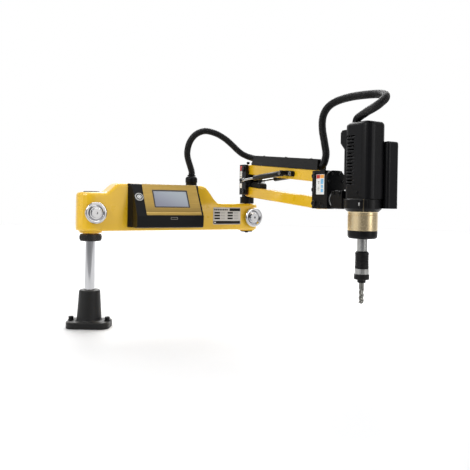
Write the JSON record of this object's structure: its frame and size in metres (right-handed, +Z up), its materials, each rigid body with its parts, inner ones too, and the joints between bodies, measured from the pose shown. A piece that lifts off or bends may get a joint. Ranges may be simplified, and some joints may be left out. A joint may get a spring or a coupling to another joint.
{
  "type": "arm tapping machine",
  "caption": "Bench tapping arm: column on a bolted flange, swinging control arm with a touch screen, gas-sprung lifting links and a tilting servo head with a quick-change tap holder.",
  "frame": {"origin": "middle of the base flange's underside, on the column's axis", "axes": "+Z up along the column; X along the line of the two hold-down bolts; at rest the control arm swings 28 degrees from +X towards +Y, and the operator and the picture face +Y"},
  "size_m": [0.9577, 0.6902, 0.7307],
  "materials": {
    "cast_base": "satin dark grey cast housing",
    "chrome": "polished",
    "steel": "turned steel",
    "black_steel": "black oxide",
    "bronze": "plain bronze",
    "yellow": "gloss golden yellow",
    "black_sheet": "black powder coat",
    "black_alu": "black anodised",
    "black_plastic": "moulded, slightly glossy",
    "grey_plastic": "moulded",
    "panel": "bronze-gold anodised",
    "screen": "lavender-grey screen",
    "button": "satin",
    "rubber": "matt",
    "gold_alu": "champagne anodised",
    "motor": "black",
    "hose": "ribbed conduit"
  },
  "bodies": {
    "base": {"base_flange": "cast_base", "base_bolts": "black_steel", "column": "chrome", "column_collar": "black_steel", "thrust_washer": "bronze"},
    "control_arm": {"arm_casing": "yellow", "column_bushes": "bronze", "top_cap": "black_plastic", "rear_cover": "black_sheet", "power_inlet": "black_plastic", "lock_pads": "bronze", "control_bezel": "black_plastic", "panel_plate": "panel", "screen_frame": "grey_plastic", "screen_glass": "screen", "button_ring": "steel", "box_gland": "black_plastic", "elbow_bearings": "steel", "arm_hose": "hose"},
    "column_knob": {"column_lock_knob": "chrome"},
    "elbow_knob": {"elbow_lock_knob": "chrome"},
    "power_key": {"power_button": "button"},
    "yoke": {"elbow_shaft": "steel", "elbow_retainer": "black_steel", "elbow_retainer_screw": "black_steel", "yoke": "black_alu", "yoke_pins": "black_steel", "yoke_spring_studs": "black_steel", "yoke_knob": "black_plastic"},
    "upper_link": {"upper_link": "yellow", "upper_link_bushes": "bronze", "cable_duct": "black_sheet", "spring_brackets": "black_steel"},
    "lower_link": {"lower_link": "yellow", "lower_link_bushes": "bronze", "bump_stop": "rubber"},
    "front_rod": {"front_gas_rod": "steel"},
    "front_cylinder": {"front_gas_cylinder": "black_steel"},
    "rear_rod": {"rear_gas_rod": "steel"},
    "rear_cylinder": {"rear_gas_cylinder": "black_steel"},
    "end_block": {"end_block": "black_alu", "end_pins": "black_steel", "swivel_plate": "black_alu", "swivel_shaft": "steel", "head_hose": "hose"},
    "head": {"swivel_hub": "black_alu", "hub_clamp_screws": "black_steel", "motor_clamp": "black_alu", "servo_motor": "motor", "motor_shroud": "black_plastic", "shroud_side_box": "black_plastic", "head_gland": "black_plastic", "gearbox": "gold_alu", "gearbox_cap": "black_alu", "spindle_bearings": "steel"},
    "spindle": {"spindle": "steel", "chuck_body": "steel", "tap_collet": "black_steel", "tap": "steel"},
    "lock_sleeve": {"lock_sleeve": "black_steel"}
  },
  "joints": [
    {"name": "arm_swing", "type": "hinge", "parent": "base", "child": "control_arm", "pos_m": [0, 0, 0.36], "axis": [0, 0, 1], "range_deg": [-180, 180]},
    {"name": "column_knob_turn", "type": "hinge", "parent": "control_arm", "child": "column_knob", "pos_m": [0.02817, -0.05298, 0.362], "axis": [0.4695, -0.8829, 0], "range_deg": [-180, 180]},
    {"name": "elbow_knob_turn", "type": "hinge", "parent": "control_arm", "child": "elbow_knob", "pos_m": [0.52234, 0.2211, 0.349], "axis": [0.4695, -0.8829, 0], "range_deg": [-180, 180]},
    {"name": "power_button_press", "type": "slide", "parent": "control_arm", "child": "power_key", "axis": [-0.409, 0.7692, -0.4909], "range_m": [0, 0.002], "stiffness_N_per_m": 600, "springref_m": -0.001},
    {"name": "elbow_swing", "type": "hinge", "parent": "control_arm", "child": "yoke", "pos_m": [0.49887, 0.26525, 0.4], "axis": [0, 0, 1], "range_deg": [-41.5, 218.5], "deforming": ["arm_hose"]},
    {"name": "link_lift", "type": "hinge", "parent": "yoke", "child": "upper_link", "pos_m": [0.51216, 0.24175, 0.5195], "axis": [0.8704, 0.4924, 0], "range_deg": [-30, 15], "deforming": ["arm_hose"]},
    {"name": "lower_link_turn", "type": "hinge", "parent": "yoke", "child": "lower_link", "pos_m": [0.51216, 0.24175, 0.4395], "axis": [0.8704, 0.4924, 0], "range_deg": [-30.5, 15.5]},
    {"name": "end_level", "type": "hinge", "parent": "upper_link", "child": "end_block", "pos_m": [0.71528, -0.11726, 0.48414], "axis": [0.8704, 0.4924, 0], "range_deg": [-15.5, 30.5], "deforming": ["head_hose"]},
    {"name": "front_spring_turn", "type": "hinge", "parent": "yoke", "child": "front_rod", "pos_m": [0.48004, 0.21324, 0.48], "axis": [0.8704, 0.4924, 0], "range_deg": [-30.5, 15.5]},
    {"name": "front_spring_stroke", "type": "slide", "parent": "front_rod", "child": "front_cylinder", "axis": [0.4913, -0.8684, 0.0672], "range_m": [-0.0115, 0.022]},
    {"name": "rear_spring_turn", "type": "hinge", "parent": "yoke", "child": "rear_rod", "pos_m": [0.55315, 0.2546, 0.48], "axis": [0.8704, 0.4924, 0], "range_deg": [-30.5, 15.5]},
    {"name": "rear_spring_stroke", "type": "slide", "parent": "rear_rod", "child": "rear_cylinder", "axis": [0.4913, -0.8684, 0.0672], "range_m": [-0.0115, 0.022]},
    {"name": "head_tilt", "type": "hinge", "parent": "end_block", "child": "head", "pos_m": [0.75985, -0.19604, 0.41554], "axis": [0.4924, -0.8704, 0], "range_deg": [-90, 90], "deforming": ["head_hose"]},
    {"name": "spindle_turn", "type": "hinge", "parent": "head", "child": "spindle", "pos_m": [0.80121, -0.26914, 0.3], "axis": [0, 0, 1], "continuous": true},
    {"name": "sleeve_lift", "type": "slide", "parent": "spindle", "child": "lock_sleeve", "axis": [0, 0, 1], "range_m": [0, 0.006], "stiffness_N_per_m": 1500, "springref_m": -0.003}
  ],
  "couplings": [
    {"joint": "lower_link_turn", "follows": "link_lift", "ratio": 1},
    {"joint": "end_level", "follows": "link_lift", "ratio": -1},
    {"joint": "front_spring_turn", "follows": "link_lift", "ratio": 1.004},
    {"joint": "rear_spring_turn", "follows": "link_lift", "ratio": 1.004},
    {"joint": "front_spring_stroke", "follows": "link_lift", "m_per_rad": -0.03966},
    {"joint": "rear_spring_stroke", "follows": "link_lift", "m_per_rad": -0.03966}
  ]
}
